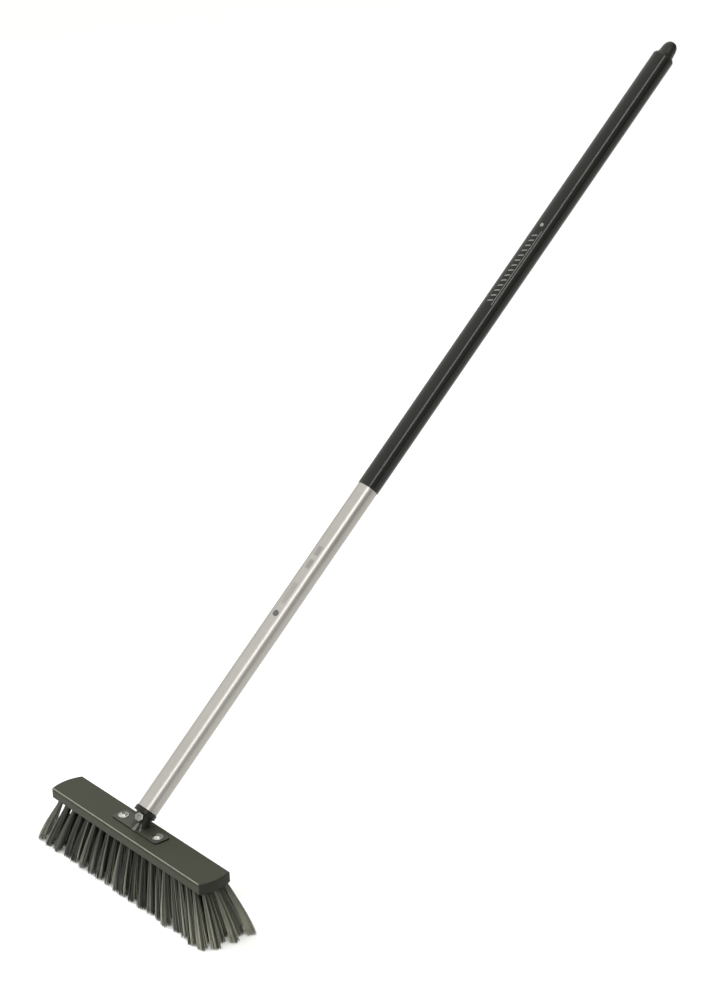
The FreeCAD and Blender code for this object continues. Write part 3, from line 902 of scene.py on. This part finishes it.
LINE = 0.5 * MM               # the marks' places are heights along the handle
TUBE_DOT = 4.2 * MM
TUBE_DOT_PLACE = 326 * MM
TUBE_LINES = (342 * MM, 372 * MM)
TUBE_BAR_GROUPS = (396 * MM, 416 * MM)
TUBE_BARS = 6
TUBE_BAR_PITCH = 2.2 * MM
TUBE_BAR_WIDTH = 0.8 * MM
TUBE_BAR_HALF = 3.5 * MM
tube_marks = bmesh.new()
dot(tube_marks, TUBE_RADIUS, TUBE_DOT, TUBE_DOT_PLACE)
for arc in (-3 * MM, -0.5 * MM, 2 * MM):
    bar(tube_marks, TUBE_RADIUS, arc, arc + LINE, *TUBE_LINES, steps=2)
for group in TUBE_BAR_GROUPS:
    for index in range(TUBE_BARS):
        start = group + TUBE_BAR_PITCH * index
        bar(tube_marks, TUBE_RADIUS, -TUBE_BAR_HALF, TUBE_BAR_HALF, start, start + TUBE_BAR_WIDTH)
place(mesh_from(tube_marks, "tube_marks"), "tube_marks", DARK_INK, "handle", sharp=25)

GRIP_BARS = 14
GRIP_BAR_START = 816          # in mm
GRIP_BAR_PITCH = 8
GRIP_BAR_WIDTH = 1.8 * MM
GRIP_BAR_HALF = 3.2 * MM
GRIP_BAR_SLANT = 3.5 * MM
GRIP_LINE = (812 * MM, 930 * MM)
GRIP_DOT = 2.6 * MM
GRIP_DOT_PLACE = 938 * MM
grip_marks = bmesh.new()
for index in range(GRIP_BARS):
    start = (GRIP_BAR_START + GRIP_BAR_PITCH * index) * MM
    end = start + GRIP_BAR_WIDTH
    bar(grip_marks, GRIP_RADIUS, -GRIP_BAR_HALF, GRIP_BAR_HALF, start, end, GRIP_BAR_SLANT)
bar(grip_marks, GRIP_RADIUS, 4.8 * MM, 5.5 * MM, *GRIP_LINE, steps=2)
dot(grip_marks, GRIP_RADIUS, GRIP_DOT, GRIP_DOT_PLACE)
place(mesh_from(grip_marks, "grip_marks"), "grip_marks", PALE_INK, "handle", sharp=25)


# ---------------------------------------------------------------- floor, camera and light

def plane(name, half):
    bm = bmesh.new()
    bmesh.ops.create_grid(bm, x_segments=4, y_segments=4, size=half)
    mesh = mesh_from(bm, name)
    item = bpy.data.objects.new(name, mesh)
    bpy.context.scene.collection.objects.link(item)
    return item


FLOOR_HALF = 20.0
floor = plane("floor", FLOOR_HALF)
floor_paint, _, floor_shader = new_material("floor_paint")
floor_shader.inputs["Base Color"].default_value = (0.90, 0.90, 0.885, 1)
floor_shader.inputs["Roughness"].default_value = 0.9
floor_shader.inputs["Specular IOR Level"].default_value = 0.1
floor.data.materials.append(floor_paint)
floor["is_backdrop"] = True

CAMERA_PLACE = Vector((2.7474, -1.796, 1.9641))
CAMERA_AIM = Vector((0, 0.3604, 0.4259))
CAMERA_ROLL = math.radians(-1.77)
camera_data = bpy.data.cameras.new("camera")
camera_data.sensor_width = 36
camera_data.lens = 108.31
camera_data.clip_end = 100
camera = bpy.data.objects.new("camera", camera_data)
bpy.context.scene.collection.objects.link(camera)
camera.location = CAMERA_PLACE
camera.rotation_mode = "QUATERNION"
aim = (CAMERA_AIM - CAMERA_PLACE).to_track_quat("-Z", "Y")
camera.rotation_quaternion = aim @ Quaternion((0, 0, 1), CAMERA_ROLL)
bpy.context.scene.camera = camera


def softbox(name, place_at, aim_at, width, height, power, along=(0, 0, 1)):
    """A rectangular light whose height runs as nearly as it can along a direction."""
    data = bpy.data.lights.new(name, "AREA")
    data.shape = "RECTANGLE"
    data.size = width
    data.size_y = height
    data.energy = power
    light = bpy.data.objects.new(name, data)
    bpy.context.scene.collection.objects.link(light)
    back = (Vector(place_at) - Vector(aim_at)).normalized()
    across = Vector(along).cross(back).normalized()
    turned = Matrix((across, back.cross(across), back)).transposed()
    light.matrix_world = Matrix.Translation(place_at) @ turned.to_4x4()
    return light


HANDLE_WAY = HANDLE.to_3x3() @ Vector((0, 0, 1))
HEAD_CENTRE = (0, 0, 0.08)
HANDLE_CENTRE = (0, 0.45, 0.5)
key = softbox("key", (-1.05, -0.32, 1.4), HEAD_CENTRE, width=0.4, height=0.4, power=14)
key.visible_glossy = False
softbox("strip", (3.6, -1.15, 3.5), HANDLE_CENTRE, width=0.65, height=4.5, power=104, along=HANDLE_WAY)
fill = softbox("fill", (5.0, 0.3, 1.9), HANDLE_CENTRE, width=2.2, height=4.5, power=12, along=HANDLE_WAY)
fill.visible_diffuse = False

# The sky is bright to the upper left and in front, and dim to the right and behind.
world = bpy.data.worlds.new("studio")
world.use_nodes = True
sky = world.node_tree
sky_shader = sky.nodes["Background"]
sky_shader.inputs["Color"].default_value = (1.0, 1.0, 0.985, 1)
sky_way = add(sky, "ShaderNodeTexCoord")
sky_dot = add(sky, "ShaderNodeVectorMath", operation="DOT_PRODUCT")
sky.links.new(sky_way.outputs["Generated"], sky_dot.inputs[0])
sky_dot.inputs[1].default_value = (-0.40, -0.42, 0.81)
sky_glow = spread(sky, sky_dot.outputs["Value"], low=0.2, high=1.55, start=-0.1, end=0.9, blend="SMOOTHSTEP")
sky.links.new(sky_glow, sky_shader.inputs["Strength"])
bpy.context.scene.world = world
bpy.context.scene.view_settings.view_transform = "Standard"

low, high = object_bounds()
